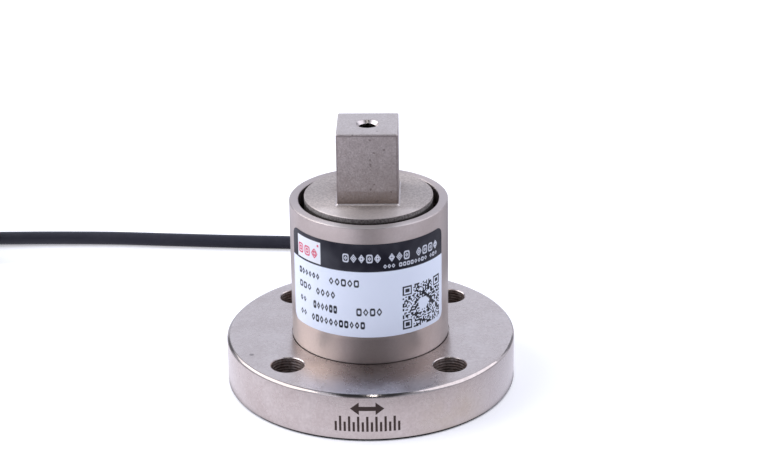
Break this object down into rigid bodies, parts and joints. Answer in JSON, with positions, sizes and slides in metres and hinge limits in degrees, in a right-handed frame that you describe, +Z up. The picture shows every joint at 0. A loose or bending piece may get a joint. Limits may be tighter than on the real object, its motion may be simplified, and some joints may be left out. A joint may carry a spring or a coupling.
{
  "type": "torque sensor",
  "caption": "Static torque sensor: round bolting flange, sleeve with a wrapped label, square drive with a tapped hole, and a thin cable coiled and tied.",
  "frame": {"origin": "centre of the flange's underside, which is the centre of the base of the object's box without its cable", "axes": "+Z up along the torsion axis to the square drive; -Y is the side with the label, square to the drive's front face; the cable leaves at +Y"},
  "size_m": [0.165, 0.097, 0.0545],
  "materials": {
    "turned_steel": "satin turned stainless steel",
    "sleeve_steel": "fine turned stainless steel",
    "nickel_plate": "nickel-plated brass",
    "label_film": "printed polyester film",
    "cable_sheath": "matte black cable sheath",
    "black_rubber": "matte black rubber",
    "natural_nylon": "natural nylon",
    "gauge_foil": "polyimide film with etched foil",
    "board_laminate": "solder-masked glass laminate",
    "chip_ceramic": "glazed ceramic",
    "tinned_copper": "tinned copper",
    "core_red": "red wire insulation",
    "core_black": "black wire insulation",
    "core_green": "green wire insulation",
    "core_white": "white wire insulation"
  },
  "bodies": {
    "root": {"torsion_body": "turned_steel", "housing_sleeve": "sleeve_steel", "name_label": "label_film", "terminal_board": "board_laminate", "gland_body": "nickel_plate", "gland_cap": "nickel_plate", "gland_locknut": "nickel_plate", "gland_seal": "black_rubber", "cable_ferrule": "tinned_copper", "cable": "cable_sheath", "cable_coil": "cable_sheath", "coil_tie": "natural_nylon", "end_sleeve": "black_rubber", "core_red": "core_red", "core_black": "core_black", "core_green": "core_green", "core_white": "core_white", "lead_red": "core_red", "lead_black": "core_black", "lead_green": "core_green", "lead_white": "core_white", "lead_shield": "tinned_copper", "bridge_wire_1": "tinned_copper", "bridge_wire_2": "tinned_copper", "bridge_wire_3": "tinned_copper", "bridge_wire_4": "tinned_copper", "bridge_wire_5": "tinned_copper", "bridge_wire_6": "tinned_copper", "bridge_wire_7": "tinned_copper", "bridge_wire_8": "tinned_copper", "strain_gauge_right": "gauge_foil", "strain_gauge_back": "gauge_foil", "strain_gauge_left": "gauge_foil", "strain_gauge_front": "gauge_foil", "trim_resistor_1": "chip_ceramic", "trim_resistor_2": "chip_ceramic", "trim_resistor_3": "chip_ceramic"}
  },
  "joints": []
}
